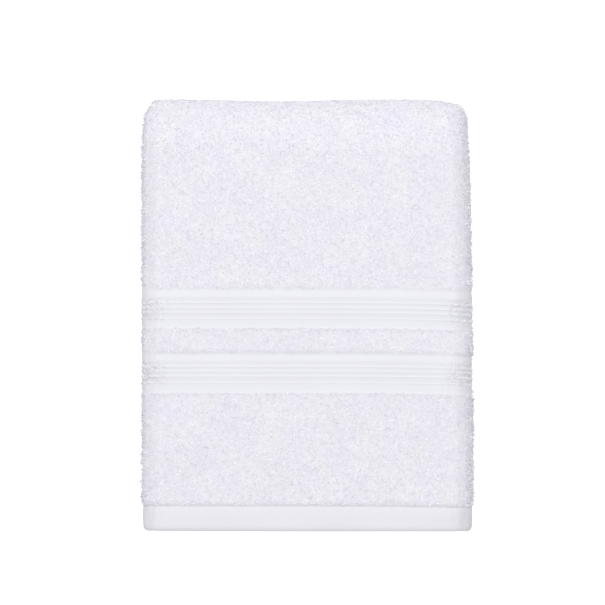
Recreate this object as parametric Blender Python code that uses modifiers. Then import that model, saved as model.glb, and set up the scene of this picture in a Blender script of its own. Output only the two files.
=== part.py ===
"""A terry hand towel, folded in thirds along its length and then in half twice across it.

The towel is one sheet. Across its width it is a left flap, a middle panel and a right flap: both flaps
are turned under the panel, the right one last. Along its length the three plies run as one strip:
the top leg from the hem that shows, a wide turn at the far end down to the floor leg, a turn at the
near end up to the lower inner leg, and a tight turn at the far end to the upper inner leg, which ends
in the other hem just under the first. So the stack has twelve plies, and each lies a little apart.

+X is across the towel, +Y runs from the hem to the folds and +Z is up. The floor is at z = 0.
"""

import math
from collections import namedtuple

import bpy

# Outer sizes of the folded towel, in metres
FOLDED_WIDTH = 0.1712
FOLDED_LENGTH = 0.2218

# Thickness of the cloth in each weave, with the loops or ribs of both faces
TERRY_THICK = 0.0030
BAND_THICK = 0.0012
RIB_THICK = 0.0022
HEM_THICK = 0.0020
HEM_EDGE_THICK = 0.0015

# From the middle of one ply to the middle of the next
PLY_PITCH = 0.0036

# The outer turn reaches this many times its half height along Y. The near turn and the hidden hem
# end a little short of the hem that shows, and each flap ends short of the opposite side turn.
TURN_REACH = 1.35
NEAR_TURN_EDGE = 0.0024
HIDDEN_HEM_EDGE = 0.0030
FLAP_GAP = 0.0040

# Along Y: the step from one weave to the next, half the width of a rib, and the longest mesh row
PILE_EDGE = 0.0006
RIB_FOOT = 0.0007
LONGEST_ROW = 0.0200

# The weaves from a hem inwards. Ribs are given from the zone's edge nearer the hem.
Zone = namedtuple("Zone", "name width thick ribs")
ZONES = (
    Zone("hem edge", 0.0030, HEM_EDGE_THICK, ()),
    Zone("hem", 0.0092, HEM_THICK, ()),
    Zone("end terry", 0.0581, TERRY_THICK, ()),
    Zone("lower band", 0.0209, BAND_THICK, (0.0059, 0.0092, 0.0117, 0.0142)),
    Zone("terry strip", 0.0117, TERRY_THICK, ()),
    Zone("upper band", 0.0212, BAND_THICK, (0.0061, 0.0089, 0.0117, 0.0142)),
)

# The four lengths of the strip. Level is the middle panel's ply, counted from the floor, and flaps is
# +1 where the flaps lie above it. Inset and shift are how its sides lie against the top leg's.
Leg = namedtuple("Leg", "name level flaps inset shift")
TOP = Leg("top", 11, -1, 0.0000, 0.0000)
FLOOR = Leg("floor", 0, +1, 0.0016, 0.0004)
LOWER_INNER = Leg("lower inner", 5, -1, 0.0011, -0.0006)
UPPER_INNER = Leg("upper inner", 6, +1, 0.0007, 0.0003)

# The turns between them: end is +1 at the far end and -1 at the near end
Turn = namedtuple("Turn", "name before after end steps")
OUTER_TURN = Turn("outer", TOP, FLOOR, +1, 10)
NEAR_TURN = Turn("near", FLOOR, LOWER_INNER, -1, 8)
INNER_TURN = Turn("inner", LOWER_INNER, UPPER_INNER, +1, 6)

# Across the width: the plies' depth under the panel, in plies, and the number of mesh steps
LEFT_DEPTH = 1
RIGHT_DEPTH = 2
SIDE_TURN_STEPS = {LEFT_DEPTH: 4, RIGHT_DEPTH: 5}
PANEL_STEPS = 9
FLAP_STEPS = 3

# Where the cloth is thin the plies above the lower inner leg sink. The depth is the top ply's.
Sag = namedtuple("Sag", "name middle reach depth")
SAGS = (
    Sag("hem", 0.0000, 0.0200, 0.0030),
    Sag("lower band", 0.0808, 0.0200, 0.0012),
    Sag("upper band", 0.1135, 0.0200, 0.0012),
)

# Unevenness. The right side leans in towards the far end by the taper, the borders droop at the
# right, the far fold is wavy from above, and the top ply has low puffs.
TAPER = 0.0034
TAPER_POWER = 3
DROOP = 0.0015
DROOP_POWER = 6
WAVE = 0.0006
WAVE_LENGTH = 0.0620
WAVE_START = 1.1
PUFF = 0.0003
PUFF_LENGTH = 0.0570
# The waves and puffs fade by this power of the height or reach, so the outermost ply has most of them
OUTER_PLY_POWER = 5

# A rounded corner: end and side are +1 or -1 along Y and X, reach is how far from the end it
# starts, and draw is how far it brings the side in
Corner = namedtuple("Corner", "end side reach draw")
CORNERS = (
    Corner(+1, -1, 0.0110, 0.0085),
    Corner(+1, +1, 0.0080, 0.0050),
    Corner(-1, -1, 0.0050, 0.0022),
    Corner(-1, +1, 0.0050, 0.0018),
)

# The underside lies flat on the floor: what is less than this above it is pressed down to it
FOOT_DEPTH = 0.0001

COLOUR = (0.80, 0.80, 0.87, 1.0)
ROUGHNESS = 0.9

# One line of the sheet across the strip. The panel lies at the radius from the row's middle, in the
# direction given by along and up, and each depth under the panel adds flaps times the depth.
Row = namedtuple("Row", "y z along up radius flaps thick inset shift")
# One line of the sheet along the strip: its place across, and its depth under the panel
Column = namedtuple("Column", "x depth")


def height(level):
    """Height of the middle of a ply, counted from the floor."""
    return TERRY_THICK / 2 + level * PLY_PITCH


def between(start, end, steps):
    """Evenly spaced values from start to end, without the start."""
    return [start + (end - start) * (i + 1) / steps for i in range(steps)]


def fill(start, end):
    """Values from start to end, no further apart than the longest row."""
    return between(start, end, math.ceil(abs(end - start) / LONGEST_ROW))


def radius_of(turn):
    """Half the height of a turn's panel."""
    return abs(height(turn.before.level) - height(turn.after.level)) / 2


def reach(radius):
    """How far a ply of this radius goes along Y in a turn. Wide plies are more drawn out."""
    return radius * (1 + (TURN_REACH - 1) * radius / radius_of(OUTER_TURN))


FAR_TURN_Y = FOLDED_LENGTH - TERRY_THICK / 2 - reach(radius_of(OUTER_TURN))
NEAR_TURN_Y = NEAR_TURN_EDGE + TERRY_THICK / 2 + reach(radius_of(NEAR_TURN))


def weave_rows(ribbed):
    """(distance from the hem's edge, thickness) for each row of the hem, borders and terry."""
    rows = []
    start = 0.0
    for zone in ZONES:
        end = start + zone.width
        first = start if not rows else start + PILE_EDGE / 2
        last = end - PILE_EDGE / 2
        rows.append((first, zone.thick))
        if ribbed and zone.ribs:
            for rib in zone.ribs:
                rows.append((start + rib - RIB_FOOT, zone.thick))
                rows.append((start + rib, RIB_THICK))
                rows.append((start + rib + RIB_FOOT, zone.thick))
            rows.append((last, zone.thick))
        else:
            rows += [(y, zone.thick) for y in fill(first, last)]
        start = end
    rows.append((start + PILE_EDGE / 2, TERRY_THICK))
    return rows


def leg_row(leg, y, thick=TERRY_THICK):
    """A row on one of the straight legs."""
    return Row(y, height(leg.level), 0.0, 1.0, 0.0, leg.flaps, thick, leg.inset, leg.shift)


def turn_rows(turn):
    """The rows round a turn, without its first and last, which its legs hold."""
    before, after = turn.before, turn.after
    first_up = math.copysign(1, height(before.level) - height(after.level))
    rows = []
    for i in range(1, turn.steps):
        share = i / turn.steps
        rows.append(
            Row(
                FAR_TURN_Y if turn.end > 0 else NEAR_TURN_Y,
                (height(before.level) + height(after.level)) / 2,
                turn.end * math.sin(math.pi * share),
                first_up * math.cos(math.pi * share),
                radius_of(turn),
                first_up * before.flaps,
                TERRY_THICK,
                before.inset + (after.inset - before.inset) * share,
                before.shift + (after.shift - before.shift) * share,
            )
        )
    return rows


def strip_rows():
    """Every row of the sheet, from the hem that shows to the hidden one."""
    rows = [leg_row(TOP, y, thick) for y, thick in weave_rows(ribbed=True)]
    rows += [leg_row(TOP, y) for y in fill(rows[-1].y, FAR_TURN_Y)]
    rows += turn_rows(OUTER_TURN)
    rows += [leg_row(FLOOR, y) for y in [FAR_TURN_Y, *fill(FAR_TURN_Y, NEAR_TURN_Y)]]
    rows += turn_rows(NEAR_TURN)
    rows += [leg_row(LOWER_INNER, y) for y in [NEAR_TURN_Y, *fill(NEAR_TURN_Y, FAR_TURN_Y)]]
    rows += turn_rows(INNER_TURN)
    hidden = [
        leg_row(UPPER_INNER, HIDDEN_HEM_EDGE + y, thick) for y, thick in weave_rows(ribbed=False)
    ]
    rows += [leg_row(UPPER_INNER, y) for y in [FAR_TURN_Y, *fill(FAR_TURN_Y, hidden[-1].y)[:-1]]]
    rows += reversed(hidden)
    return rows


def strip_columns():
    """Every column of the sheet: left flap, side turn, middle panel, side turn, right flap."""
    radius = {depth: depth * PLY_PITCH / 2 for depth in (LEFT_DEPTH, RIGHT_DEPTH)}
    side = {depth: (FOLDED_WIDTH - TERRY_THICK) / 2 - radius[depth] for depth in radius}
    left, right = -side[LEFT_DEPTH], side[RIGHT_DEPTH]

    def side_turn(depth, outward, x):
        steps = SIDE_TURN_STEPS[depth]
        turned = [math.pi * i / steps for i in range(1, steps)]
        return [
            Column(x + outward * radius[depth] * math.sin(a), radius[depth] * (1 - math.cos(a)))
            for a in turned
        ]

    left_edge = right - FLAP_GAP
    right_edge = left + FLAP_GAP
    under_left = LEFT_DEPTH * PLY_PITCH
    under_right = RIGHT_DEPTH * PLY_PITCH
    columns = [Column(x, under_left) for x in [left_edge, *between(left_edge, left, FLAP_STEPS)]]
    columns += reversed(side_turn(LEFT_DEPTH, -1, left))
    columns += [Column(x, 0.0) for x in [left, *between(left, right, PANEL_STEPS)]]
    columns += side_turn(RIGHT_DEPTH, +1, right)
    columns += [Column(x, under_right) for x in [right, *between(right, right_edge, FLAP_STEPS)]]
    return columns


def bump(distance, limit):
    """1 at no distance, falling smoothly to 0 at the limit."""
    share = min(abs(distance) / limit, 1.0)
    return (1 - share * share) ** 2


def place_across(x, row):
    """Where a column's place across lies on a row, with the row's inset, shift and rounded corners."""
    panel_y = row.y + row.along * reach(row.radius)
    inward = row.inset
    for corner in CORNERS:
        from_end = FOLDED_LENGTH - panel_y if corner.end > 0 else panel_y
        if corner.side * x > 0 and from_end < corner.reach:
            inward += corner.draw * (1 - from_end / corner.reach) ** 2
    return x * (1 - inward / (FOLDED_WIDTH / 2)) + row.shift


def settle(x, y, z):
    """Where a point of the squarely folded towel lies once the towel is as uneven as it is."""
    upper = (z - height(LOWER_INNER.level)) / (height(TOP.level) - height(LOWER_INNER.level))
    upper = min(max(upper, 0.0), 1.0)
    far = min(max((y - FAR_TURN_Y) / (FOLDED_LENGTH - FAR_TURN_Y), 0.0), 1.0)
    across = x / FOLDED_WIDTH + 0.5
    waves = math.sin(2 * math.pi * x / WAVE_LENGTH + WAVE_START)
    puffs = math.sin(2 * math.pi * x / PUFF_LENGTH) * math.sin(2 * math.pi * y / PUFF_LENGTH)

    new_x = x - TAPER * across * (y / FOLDED_LENGTH) ** TAPER_POWER
    new_y = y - DROOP * bump(y - FOLDED_LENGTH / 2, FOLDED_LENGTH / 2) * across**DROOP_POWER
    new_y += WAVE * waves * far**OUTER_PLY_POWER
    new_z = z - upper * sum(sag.depth * bump(y - sag.middle, sag.reach) for sag in SAGS)
    new_z += PUFF * puffs * upper**OUTER_PLY_POWER
    return new_x, new_y, new_z


def make_cloth_material():
    """White cotton."""
    material = bpy.data.materials.new("white_cotton")
    material.use_nodes = True
    shader = material.node_tree.nodes["Principled BSDF"]
    shader.inputs["Base Color"].default_value = COLOUR
    shader.inputs["Roughness"].default_value = ROUGHNESS
    shader.inputs["Metallic"].default_value = 0.0
    return material


def make_towel(collection):
    """The sheet, folded from a flat grid, and thickened by the weave of each place."""
    rows = strip_rows()
    columns = strip_columns()
    bpy.ops.mesh.primitive_grid_add(
        x_subdivisions=len(columns) - 1, y_subdivisions=len(rows) - 1, size=1
    )
    towel = bpy.context.object
    towel.name = "towel"
    towel.data.name = "towel"
    thickness = towel.vertex_groups.new(name="thickness")
    for vertex in towel.data.vertices:
        column = columns[round((vertex.co.x + 0.5) * (len(columns) - 1))]
        row = rows[round((vertex.co.y + 0.5) * (len(rows) - 1))]
        radius = row.radius + row.flaps * column.depth
        y = row.y + row.along * reach(radius)
        vertex.co = settle(place_across(column.x, row), y, row.z + row.up * radius)
        thickness.add([vertex.index], row.thick / TERRY_THICK, "REPLACE")

    solid = towel.modifiers.new("thickness", "SOLIDIFY")
    solid.thickness = TERRY_THICK
    solid.vertex_group = thickness.name
    solid.offset = 0.0
    bpy.ops.object.modifier_apply(modifier=solid.name)
    towel.vertex_groups.clear()
    towel.data.materials.append(make_cloth_material())
    towel.data.shade_smooth()
    for owner in list(towel.users_collection):
        owner.objects.unlink(towel)
    collection.objects.link(towel)
    return towel


def lay_on_floor(towel):
    """Moves the sheet so that the origin is on the floor, under the middle of its box, and flattens its foot."""
    points = [vertex.co for vertex in towel.data.vertices]
    low = [min(point[i] for point in points) for i in range(3)]
    high = [max(point[i] for point in points) for i in range(3)]
    for vertex in towel.data.vertices:
        vertex.co.x -= (low[0] + high[0]) / 2
        vertex.co.y -= (low[1] + high[1]) / 2
        vertex.co.z -= low[2]
        if vertex.co.z < FOOT_DEPTH:
            vertex.co.z = 0.0
    size = [(high[i] - low[i]) * 1000 for i in range(3)]
    print("folded towel, in mm:", [round(side, 2) for side in size])


def main():
    for thing in list(bpy.data.objects):
        bpy.data.objects.remove(thing, do_unlink=True)
    collection = bpy.data.collections.new("hand towel")
    bpy.context.scene.collection.children.link(collection)
    towel = make_towel(collection)
    lay_on_floor(towel)


main()
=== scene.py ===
# %% [markdown]
# A white terry hand towel, folded into thirds and then in half twice.
#
# Terry towelling is a flat cloth with a standing loop of yarn at every knot of its weave. Two flat-woven
# borders with raised ribs cross it near each end, and the end itself is turned over and sewn as a hem.
# The lesson builds the cloth as one folded sheet, and then sets about forty-five thousand loops on it.

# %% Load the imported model, and keep its box
import math
from collections import namedtuple

import bpy
import numpy as np
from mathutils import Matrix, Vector


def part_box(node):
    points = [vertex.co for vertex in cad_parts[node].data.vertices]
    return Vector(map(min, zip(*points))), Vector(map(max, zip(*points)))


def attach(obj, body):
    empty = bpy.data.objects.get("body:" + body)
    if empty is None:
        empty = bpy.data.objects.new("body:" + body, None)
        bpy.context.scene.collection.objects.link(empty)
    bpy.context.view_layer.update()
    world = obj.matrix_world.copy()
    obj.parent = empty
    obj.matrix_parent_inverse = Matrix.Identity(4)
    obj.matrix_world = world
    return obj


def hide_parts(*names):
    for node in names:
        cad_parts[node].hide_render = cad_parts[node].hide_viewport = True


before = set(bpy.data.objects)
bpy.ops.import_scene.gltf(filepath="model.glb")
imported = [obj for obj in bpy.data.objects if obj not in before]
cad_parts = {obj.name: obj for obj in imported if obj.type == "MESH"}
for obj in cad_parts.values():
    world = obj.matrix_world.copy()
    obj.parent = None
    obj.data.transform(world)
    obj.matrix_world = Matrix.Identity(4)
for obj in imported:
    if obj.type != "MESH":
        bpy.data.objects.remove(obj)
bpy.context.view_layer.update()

TOWEL_LOW, TOWEL_HIGH = (np.array(corner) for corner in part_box("towel"))
print("the towel's box, in mm:", np.round((TOWEL_HIGH - TOWEL_LOW) * 1000, 1))

bpy.ops.object.select_all(action="DESELECT")

# %% [markdown]
# The real towel was folded by hand, so its shape is a recipe of folds, not a block. The sizes below are
# within half a millimetre of the solid model's: the folded face, the thickness of the terry, and the
# distance between plies. Naming them once lets the same folds be made here with a much finer mesh.

# %% Sizes of the fold, in metres
FOLDED_WIDTH = 0.1708
FOLDED_LENGTH = 0.2221
TERRY_THICK = 0.0030
PLY_PITCH = 0.0036
TURN_REACH = 1.35
NEAR_TURN_EDGE = 0.0024
HIDDEN_HEM_EDGE = 0.0030
FLAP_GAP = 0.0040
LEFT_DEPTH = 1
RIGHT_DEPTH = 2

Leg = namedtuple("Leg", "name level flaps inset shift")
TOP = Leg("top", 11, -1, 0.0000, 0.0000)
FLOOR = Leg("floor", 0, +1, 0.0016, 0.0004)
LOWER_INNER = Leg("lower inner", 5, -1, 0.0011, -0.0006)
UPPER_INNER = Leg("upper inner", 6, +1, 0.0007, 0.0003)


def height(level):
    """Height of the middle of a ply, counted from the floor."""
    return TERRY_THICK / 2 + level * PLY_PITCH


def radius_between(before, after):
    """Half the height of the turn between two legs."""
    return abs(height(before.level) - height(after.level)) / 2


OUTER_RADIUS = radius_between(TOP, FLOOR)
NEAR_RADIUS = radius_between(FLOOR, LOWER_INNER)


def reach(radius):
    """How far a ply of this radius goes along Y in a turn. Wide plies are more drawn out."""
    return radius * (1 + (TURN_REACH - 1) * radius / OUTER_RADIUS)


FAR_Y = FOLDED_LENGTH - TERRY_THICK / 2 - reach(OUTER_RADIUS)
NEAR_Y = NEAR_TURN_EDGE + TERRY_THICK / 2 + reach(NEAR_RADIUS)
print("the strip turns at y =", round(NEAR_Y * 1000, 1), "and", round(FAR_Y * 1000, 1), "mm")

# %% [markdown]
# Along its length the folded strip runs forward over the top, round the outer fold, back along the floor,
# round the near fold, and forward and back once more inside. Each straight or curved run is one stretch,
# and a distance measured along the strip then names a place on it. Working in such distances is what
# lets the weave, the borders and the loops follow the folds without being bent one by one.

# %% Stretches along the strip
Stretch = namedtuple("Stretch", "before after end y0 y1 start length")


def list_stretches():
    """The seven stretches of the strip, each with its start and length along it."""
    plan = (
        (TOP, TOP, 0, 0.0, FAR_Y),
        (TOP, FLOOR, +1, FAR_Y, FAR_Y),
        (FLOOR, FLOOR, 0, FAR_Y, NEAR_Y),
        (FLOOR, LOWER_INNER, -1, NEAR_Y, NEAR_Y),
        (LOWER_INNER, LOWER_INNER, 0, NEAR_Y, FAR_Y),
        (LOWER_INNER, UPPER_INNER, +1, FAR_Y, FAR_Y),
        (UPPER_INNER, UPPER_INNER, 0, FAR_Y, HIDDEN_HEM_EDGE),
    )
    stretches = []
    start = 0.0
    for before, after, end, y0, y1 in plan:
        radius = radius_between(before, after)
        length = math.pi * math.hypot(radius, reach(radius)) / math.sqrt(2) if end else abs(y1 - y0)
        stretches.append(Stretch(before, after, end, y0, y1, start, length))
        start += length
    return stretches


STRETCHES = list_stretches()
TOP_LEG, OUTER_FOLD, FLOOR_LEG, NEAR_FOLD, LOWER_LEG, INNER_FOLD, UPPER_LEG = STRETCHES
STRIP_LENGTH = UPPER_LEG.start + UPPER_LEG.length
print("length of the strip along its folds:", round(STRIP_LENGTH, 3), "m")

ROW_FIELDS = "y z along up radius flaps inset shift"
Row = namedtuple("Row", ROW_FIELDS)
ROUNDING = 1e-9


def row_at(s):
    """The panel's place, direction and radius at each distance along the strip."""
    row = {field: np.zeros_like(s) for field in ROW_FIELDS.split()}
    for stretch in STRETCHES:
        here = s >= stretch.start - ROUNDING
        share = (s[here] - stretch.start) / stretch.length
        before, after = stretch.before, stretch.after
        row["y"][here] = stretch.y0 + (stretch.y1 - stretch.y0) * share
        row["z"][here] = (height(before.level) + height(after.level)) / 2
        row["inset"][here] = before.inset + (after.inset - before.inset) * share
        row["shift"][here] = before.shift + (after.shift - before.shift) * share
        first_up = math.copysign(1, height(before.level) - height(after.level)) if stretch.end else 1
        row["along"][here] = stretch.end * np.sin(math.pi * share)
        row["up"][here] = first_up * np.cos(math.pi * share) if stretch.end else 1.0
        row["radius"][here] = radius_between(before, after)
        row["flaps"][here] = first_up * before.flaps
    return Row(**row)


# %% [markdown]
# Across its width the towel was first folded in thirds, the left third first and the right third over it.
# Seen from the middle outwards, each side is a flat panel, a round side turn and a flap underneath. The
# right turn goes round two plies, which is why that side of the towel is the rounder one.

# %% Places across the strip
SIDE_RADIUS = {-1: LEFT_DEPTH * PLY_PITCH / 2, +1: RIGHT_DEPTH * PLY_PITCH / 2}
SIDE_EDGE = {side: (FOLDED_WIDTH - TERRY_THICK) / 2 - SIDE_RADIUS[side] for side in (-1, +1)}
SIDE_TURN = {side: math.pi * SIDE_RADIUS[side] for side in (-1, +1)}
FLAP = SIDE_EDGE[-1] + SIDE_EDGE[+1] - FLAP_GAP
LEFT_END = -(SIDE_EDGE[-1] + SIDE_TURN[-1] + FLAP)
RIGHT_END = SIDE_EDGE[+1] + SIDE_TURN[+1] + FLAP
print("width of the cloth round its folds:", round(RIGHT_END - LEFT_END, 3), "m")


def across_at(t):
    """The place across and the depth under the panel at each distance from the middle."""
    x = t.copy()
    depth = np.zeros_like(t)
    for side in (-1, +1):
        past = side * t - SIDE_EDGE[side]
        turned = past > 0
        radius = SIDE_RADIUS[side]
        angle = np.clip(past[turned] / radius, 0, math.pi)
        flap = np.maximum(past[turned] - SIDE_TURN[side], 0)
        x[turned] = side * (SIDE_EDGE[side] + radius * np.sin(angle) - flap)
        depth[turned] = radius * (1 - np.cos(angle))
    return x, depth


# %% [markdown]
# A towel folded by hand is nowhere quite square. Its far end tapers and droops towards the corners, the hem
# hangs over the plies under it, each weave draws the sides in by a different little, and the sides roll
# down. Each of these is an amount that fades over a reach, and one function moves any point of the
# squarely folded towel by all of them, so every piece that is made later follows.

# %% How uneven the fold is, in metres
Sag = namedtuple("Sag", "name middle reach depth")
SAGS = (
    Sag("lower band", 0.0815, 0.0200, -0.0002),
    Sag("upper band", 0.1147, 0.0200, -0.0003),
)
HEM_DROP, HEM_DROP_REACH, HEM_DROP_POWER = 0.0028, 0.0129, 1.25
HEM_LIP, HEM_LIP_REACH = 0.0010, 0.0025
SEAM_DROOP, SEAM_Y, SEAM_REACH, SEAM_POWER = 0.0009, 0.0134, 0.0120, 5
LIP_LIFT, LIP_REACH = 0.0004, 0.0100

Inset = namedtuple("Inset", "name first last left right")
INSETS = (
    Inset("hem", -0.0100, 0.0132, -0.0004, -0.0004),
    Inset("end terry", 0.0132, 0.0712, 0.0, 0.0003),
    Inset("lower band", 0.0712, 0.0919, -0.00065, 0.0002),
    Inset("terry strip", 0.0919, 0.1045, 0.0, -0.0001),
    Inset("upper band", 0.1045, 0.1249, -0.0006, -0.0001),
    Inset("terry", 0.1249, 0.2300, 0.0, 0.0003),
)
INSET_EDGE = 0.0011

Roll = namedtuple("Roll", "reach depth ease")
ROLLS = {-1: Roll(0.0092, 0.0042, 1.0), +1: Roll(0.0112, 0.0080, 0.3)}
ROLL_AT_HEM, ROLL_HEM_REACH = 0.25, 0.0220

TAPER, TAPER_POWER = 0.0034, 3
DROOP, DROOP_POWER = 0.0015, 6
FarDroop = namedtuple("FarDroop", "start depth")
FAR_DROOPS = {-1: FarDroop(0.0740, 0.0020), +1: FarDroop(0.0640, 0.0038)}
WAVE, WAVE_LENGTH, WAVE_START = 0.0006, 0.1150, -0.78
PUFF, PUFF_LENGTH = 0.0003, 0.0570
OUTER_PLY_POWER = 5

Corner = namedtuple("Corner", "end side reach draw")
CORNERS = (
    Corner(+1, -1, 0.0110, 0.0090),
    Corner(+1, +1, 0.0028, 0.0022),
    Corner(-1, -1, 0.0030, 0.0026),
    Corner(-1, +1, 0.0034, 0.0024),
)


def bump(distance, limit):
    """1 at no distance, falling smoothly to 0 at the limit."""
    share = np.minimum(np.abs(distance) / limit, 1.0)
    return (1 - share * share) ** 2


def settle(x, y, z):
    """Where the squarely folded towel's points lie once it is as uneven as it is."""
    upper = np.clip((z - height(LOWER_INNER.level)) / (height(TOP.level) - height(LOWER_INNER.level)), 0, 1)
    far = np.clip((y - FAR_Y) / (FOLDED_LENGTH - FAR_Y), 0, 1)
    across = x / FOLDED_WIDTH + 0.5
    ahead = np.maximum(y, 0) / FOLDED_LENGTH
    new_x = x - TAPER * across * ahead**TAPER_POWER
    new_y = y - DROOP * bump(y - FOLDED_LENGTH / 2, FOLDED_LENGTH / 2) * np.abs(across) ** DROOP_POWER
    for side, droop in FAR_DROOPS.items():
        past = np.clip((side * x - droop.start) / (FOLDED_WIDTH / 2 - droop.start), 0, 1)
        new_y -= droop.depth * far * past**2
    new_y += WAVE * np.sin(2 * math.pi * x / WAVE_LENGTH + WAVE_START) * far**OUTER_PLY_POWER
    drop = sum(sag.depth * bump(y - sag.middle, sag.reach) for sag in SAGS)
    drop = drop + HEM_DROP * np.clip(1 - y / HEM_DROP_REACH, 0, 1) ** HEM_DROP_POWER
    drop = drop + HEM_LIP * np.clip(1 - y / HEM_LIP_REACH, 0, 1) ** 2
    new_z = z - upper * drop
    leftness, rightness = np.clip(-2 * x / FOLDED_WIDTH, 0, 1), np.clip(2 * x / FOLDED_WIDTH, 0, 1)
    for inset in INSETS:
        inside = np.clip(np.minimum(y - inset.first, inset.last - y) / INSET_EDGE + 0.5, 0, 1)
        new_x += upper * inside * (inset.left * leftness - inset.right * rightness)
    new_y -= SEAM_DROOP * upper * bump(y - SEAM_Y, SEAM_REACH) * np.abs(across) ** SEAM_POWER
    new_y += LIP_LIFT * upper * bump(y, LIP_REACH) * leftness**2
    stacked = z / height(TOP.level) * (1 + ROLL_AT_HEM * bump(y, ROLL_HEM_REACH))
    for side, roll in ROLLS.items():
        share = np.clip((FOLDED_WIDTH / 2 - side * x) / roll.reach, 0, 1)
        new_z -= stacked * roll.depth * (1 - share) ** 2 * (1 + roll.ease * share)
    puffs = np.sin(2 * math.pi * x / PUFF_LENGTH) * np.sin(2 * math.pi * y / PUFF_LENGTH)
    new_z += PUFF * puffs * upper**OUTER_PLY_POWER
    return np.stack([new_x, new_y, new_z], axis=-1)


def place(s, t):
    """The middle of the cloth at distances s along the strip and t across it."""
    s, t = np.broadcast_arrays(np.asarray(s, float), np.asarray(t, float))
    row = row_at(s)
    x, depth = across_at(t)
    radius = row.radius + row.flaps * depth
    turning = row.along != 0
    arm = np.where(turning, reach(radius), 0.0)
    panel_y = row.y + row.along * reach(row.radius)
    inward = row.inset.copy()
    for corner in CORNERS:
        from_end = FOLDED_LENGTH - panel_y if corner.end > 0 else panel_y
        drawn = (corner.side * x > 0) & (from_end < corner.reach)
        near = np.clip(1 - from_end / corner.reach, 0, 1)
        inward += np.where(drawn, corner.draw * (1 - np.sqrt(1 - near * near)), 0.0)
    x = x * (1 - inward / (FOLDED_WIDTH / 2)) + row.shift
    return settle(x, row.y + row.along * arm, row.z + row.up * radius)


print("middle of the hem's edge, in mm:", np.round(place([0.0], [0.0])[0] * 1000, 1))

# %% [markdown]
# The rest works on the skin of the cloth: a point of its middle, moved outwards. Outwards is found by
# stepping a little along and a little across and taking the cross product of the two steps, which works
# as well in a fold as on the flat. The sum of a few dozen sine waves in random directions gives a smooth
# unevenness that is the same each time, because its random numbers are seeded.

# %% The skin of the cloth, and smooth unevenness
PROBE = 0.0003
SHORTEST = 1e-12


def unit(vectors):
    """Vectors of the same direction and of length 1."""
    return vectors / np.maximum(np.linalg.norm(vectors, axis=-1, keepdims=True), SHORTEST)


def directions(s, t):
    """Unit vectors along the strip, across it and out of the cloth's outer face."""
    along = place(s + PROBE, t) - place(s - PROBE, t)
    across = place(s, t + PROBE) - place(s, t - PROBE)
    out = np.cross(across, along)
    out, across = unit(out), unit(across)
    return np.cross(out, across), across, out


def make_waves(seed, shortest, longest, count=28):
    """A smooth random function of two distances, about 1 high, with waves of these lengths."""
    rng = np.random.default_rng(seed)
    angle = rng.uniform(0, 2 * math.pi, count)
    number = 2 * math.pi / rng.uniform(shortest, longest, count)
    start = rng.uniform(0, 2 * math.pi, count)

    def waves(s, t):
        total = np.zeros(np.broadcast(s, t).shape)
        for a, n, first in zip(angle, number, start):
            total += np.sin(n * (s * math.cos(a) + t * math.sin(a)) + first)
        return total * math.sqrt(2 / count)

    return waves


mottle = make_waves(seed=11, shortest=0.0060, longest=0.0140)
lumps = make_waves(seed=12, shortest=0.0032, longest=0.0060)
rough = make_waves(seed=13, shortest=0.0014, longest=0.0026)
print("unevenness at three places:", np.round(mottle(np.array([0.0, 0.1, 0.2]), 0.0), 2))

# %% [markdown]
# From the hem inwards the towel has a sewn hem, terry, a ribbed border, a strip of terry, a second border
# and then terry to the other end. Where there is no pile the cloth is thinner, so the borders and the
# hem lie lower than the terry. The bare cloth under the loops is thinner again than the towel feels.

# %% The weave from the hem inwards
Zone = namedtuple("Zone", "name width thick pile ribs")
HEM_THICK = 0.0023
BAND_THICK = 0.0024
GROUND_THICK = 0.0026
RIB_RISE = 0.00024
RIB_HALF = 0.00055
GROOVE_DEPTH = 0.00016
BORDER_LIFT = 0.00012
BORDER_DIP = 0.00003
BORDER_FALL = 0.00030
HEM_CREST = 0.00050
HEM_CREST_WIDTH = 0.0035
PILE_EDGE = 0.0006
PILE_EDGE_SHADE_WIDTH = 0.0026
ZONES = (
    Zone("hem", 0.0137, HEM_THICK, 0, ()),
    Zone("end terry", 0.0575, GROUND_THICK, 1, ()),
    Zone("lower band", 0.0207, BAND_THICK, 0, (0.0053, 0.0086, 0.0112, 0.0136)),
    Zone("terry strip", 0.0126, GROUND_THICK, 1, ()),
    Zone("upper band", 0.0204, BAND_THICK, 0, (0.0049, 0.0080, 0.0105, 0.0131)),
    Zone("terry", 0.9, GROUND_THICK, 1, ()),
)
RIB_MARGIN = 0.0011
RIB_STEP = 0.0012
RIB_FAR_MARGIN = 0.0025
RIB_FAR_STEP = 0.0004
PLAIN_SHADE = 0.22
HEM_ROUND = 0.0020
HEM_EDGE_SHARE = 0.20
ROUGH_END = 0.0120
WEAR, WEAR_UNEVEN = 0.20, 0.50
ROUGH_SHIFT, ROUGH_LEAST = 0.2, -0.6
WORN_POWER = 0.9
WORN_CREST = 0.5
WORN_SHADE_POWER = 1.2


def zone_edges():
    """(zone, first, last) with distances from the hem's edge."""
    edges = []
    start = 0.0
    for zone in ZONES:
        edges.append((zone, start, start + zone.width))
        start += zone.width
    return edges


EDGES = zone_edges()
for zone, first, last in EDGES[:-1]:
    print(zone.name, "from", round(first * 1000, 1), "to", round(last * 1000, 1), "mm")


def from_hem(s):
    """Distance from the nearer hem, along the strip."""
    return np.minimum(s, STRIP_LENGTH - s)


def side_share(t):
    """0 over most of the panel, rising to 1 where a side turn starts."""
    left = (-t - (SIDE_EDGE[-1] - ROUGH_END)) / ROUGH_END
    right = (t - (SIDE_EDGE[+1] - ROUGH_END)) / ROUGH_END
    return np.clip(np.maximum(left, right), 0, 1)


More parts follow.
